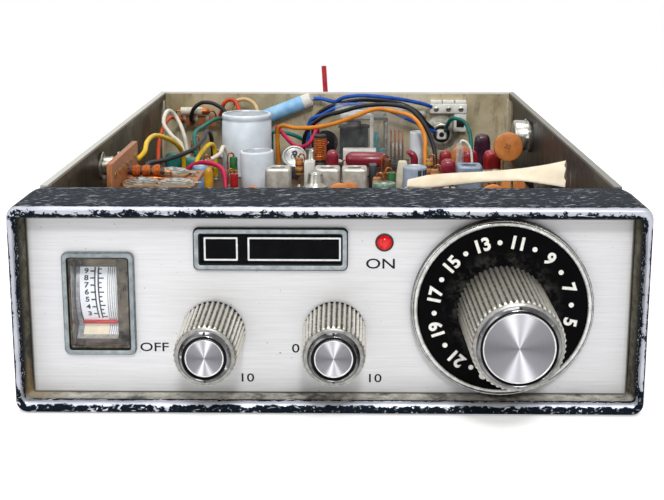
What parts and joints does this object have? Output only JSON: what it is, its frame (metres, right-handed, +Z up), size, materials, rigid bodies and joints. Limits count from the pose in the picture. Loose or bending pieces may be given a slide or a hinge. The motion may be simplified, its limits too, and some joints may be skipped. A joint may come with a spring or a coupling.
{
  "type": "mobile radio transceiver",
  "caption": "Early mobile two-way radio shown without its top cover: worn bezel, brushed panel, meter, knobs, channel dial, and a wired chassis.",
  "frame": {"origin": "under the middle of the case, on the plane it stands on", "axes": "+X to the right of someone facing the front, +Y to the rear, +Z up"},
  "size_m": [0.16, 0.2788, 0.0651],
  "materials": {
    "bezel_paint": "worn black enamel over cast alloy",
    "panel_aluminium": "brushed lengthwise",
    "plated_steel": "plated sheet, stained with age",
    "cover_paint": "dark enamel",
    "fastener_nickel": "dull nickel plate",
    "meter_frame_grey": "worn grey-blue paint",
    "clear_plastic": "clear moulded plastic",
    "cream_plastic": "moulded, slightly yellowed",
    "scale_card": "printed card",
    "movement_iron": "bare iron",
    "pointer_red": "red paint",
    "badge_metal": "worn satin",
    "badge_black": "black lacquer",
    "lamp_red": "red moulded lens",
    "black_plastic": "moulded",
    "knob_chrome": "bright plate with grime in the flutes",
    "spun_aluminium": "spun in fine rings",
    "shaft_steel": "turned",
    "pot_metal": "plated",
    "brass": "turned",
    "dial_black": "black with white numbers",
    "dial_rim_metal": "bright",
    "switch_phenolic": "phenolic wafers with plated contacts",
    "board_phenolic": "phenolic laminate",
    "standoff_metal": "turned",
    "filter_sleeve": "grey-blue shrink sleeve",
    "capacitor_sleeve": "light blue-grey sleeve",
    "axial_film": "waxed sleeve",
    "can_metal": "drawn can",
    "crystal_metal": "plated can",
    "dipped_maroon": "dipped",
    "disc_ceramic": "lacquered ceramic",
    "resistor_body": "lacquered",
    "transistor_can": "plated can",
    "copper_wire": "enamelled wire",
    "mica_stack": "mica and plated leaf",
    "brown_phenolic": "phenolic laminate",
    "relay_iron": "plated iron and wound coil",
    "relay_clear": "clear moulded cover",
    "armature_iron": "plated iron",
    "speaker_steel": "plated basket",
    "cone_paper": "pulp",
    "socket_nickel": "nickel plate",
    "jack_nickel": "nickel plate",
    "white_nylon": "moulded",
    "fibre": "varnished sleeving",
    "wire_cover": "coloured covering",
    "rubber_black": "moulded",
    "lead_red": "red covering"
  },
  "bodies": {
    "chassis": {"front_bezel": "bezel_paint", "front_panel": "panel_aluminium", "front_subpanel": "plated_steel", "left_side_plate": "plated_steel", "right_side_plate": "plated_steel", "rear_panel": "plated_steel", "bottom_cover": "cover_paint", "case_screws": "fastener_nickel", "bracket_nuts": "fastener_nickel", "meter_bezel": "meter_frame_grey", "meter_lens": "clear_plastic", "meter_housing": "cream_plastic", "meter_scale": "scale_card", "meter_movement": "movement_iron", "badge_frame": "badge_metal", "badge_plate": "badge_black", "lamp_lens": "lamp_red", "lamp_holder": "black_plastic", "volume_pot": "pot_metal", "squelch_pot": "pot_metal", "control_nuts": "brass", "channel_switch": "switch_phenolic", "main_board": "board_phenolic", "board_standoffs": "standoff_metal", "filter_capacitor": "filter_sleeve", "upright_capacitors": "capacitor_sleeve", "axial_capacitors": "axial_film", "coil_cans": "can_metal", "crystals": "crystal_metal", "film_capacitors": "dipped_maroon", "disc_capacitors": "disc_ceramic", "resistors": "resistor_body", "transistors": "transistor_can", "rf_coils": "copper_wire", "mica_trimmers": "mica_stack", "terminal_boards": "brown_phenolic", "relay_base": "relay_iron", "relay_cover": "relay_clear", "speaker_frame": "speaker_steel", "aerial_socket": "socket_nickel", "jacks": "jack_nickel", "terminal_block": "white_nylon", "insulating_strip": "fibre", "hookup_wires": "wire_cover", "power_grommet": "rubber_black", "power_lead": "lead_red"},
    "volume": {"volume_knob": "knob_chrome", "volume_knob_cap": "spun_aluminium", "volume_shaft": "shaft_steel"},
    "squelch": {"squelch_knob": "knob_chrome", "squelch_knob_cap": "spun_aluminium", "squelch_shaft": "shaft_steel"},
    "channel": {"channel_knob": "knob_chrome", "channel_knob_cap": "spun_aluminium", "channel_dial": "dial_black", "dial_rim": "dial_rim_metal", "channel_rotor": "shaft_steel"},
    "pointer": {"meter_pointer": "pointer_red"},
    "armature": {"relay_armature": "armature_iron"},
    "cone": {"speaker_cone": "cone_paper"}
  },
  "joints": [
    {"name": "volume_turn", "type": "hinge", "parent": "chassis", "child": "volume", "pos_m": [-0.0296, 0, 0.0201], "axis": [0, 1, 0], "range_deg": [-150, 150]},
    {"name": "squelch_turn", "type": "hinge", "parent": "chassis", "child": "squelch", "pos_m": [0.0014, 0, 0.0201], "axis": [0, 1, 0], "range_deg": [-150, 150]},
    {"name": "channel_turn", "type": "hinge", "parent": "chassis", "child": "channel", "pos_m": [0.0439, 0, 0.027], "axis": [0, 1, 0], "continuous": true},
    {"name": "meter_swing", "type": "hinge", "parent": "chassis", "child": "pointer", "pos_m": [-0.0588, -0.0948, 0.0273], "axis": [-1, 0, 0], "range_deg": [0, 64], "stiffness_Nm_per_rad": 0.0003, "springref_deg": -5.73},
    {"name": "relay_pull", "type": "hinge", "parent": "chassis", "child": "armature", "pos_m": [0.0206, 0.092, 0.0469], "axis": [0, -1, 0], "range_deg": [0, 3], "stiffness_Nm_per_rad": 0.02, "springref_deg": -2.86},
    {"name": "speaker_throw", "type": "slide", "parent": "chassis", "child": "cone", "axis": [0, 0, 1], "range_m": [-0.0006, 0.0006], "stiffness_N_per_m": 2000}
  ]
}
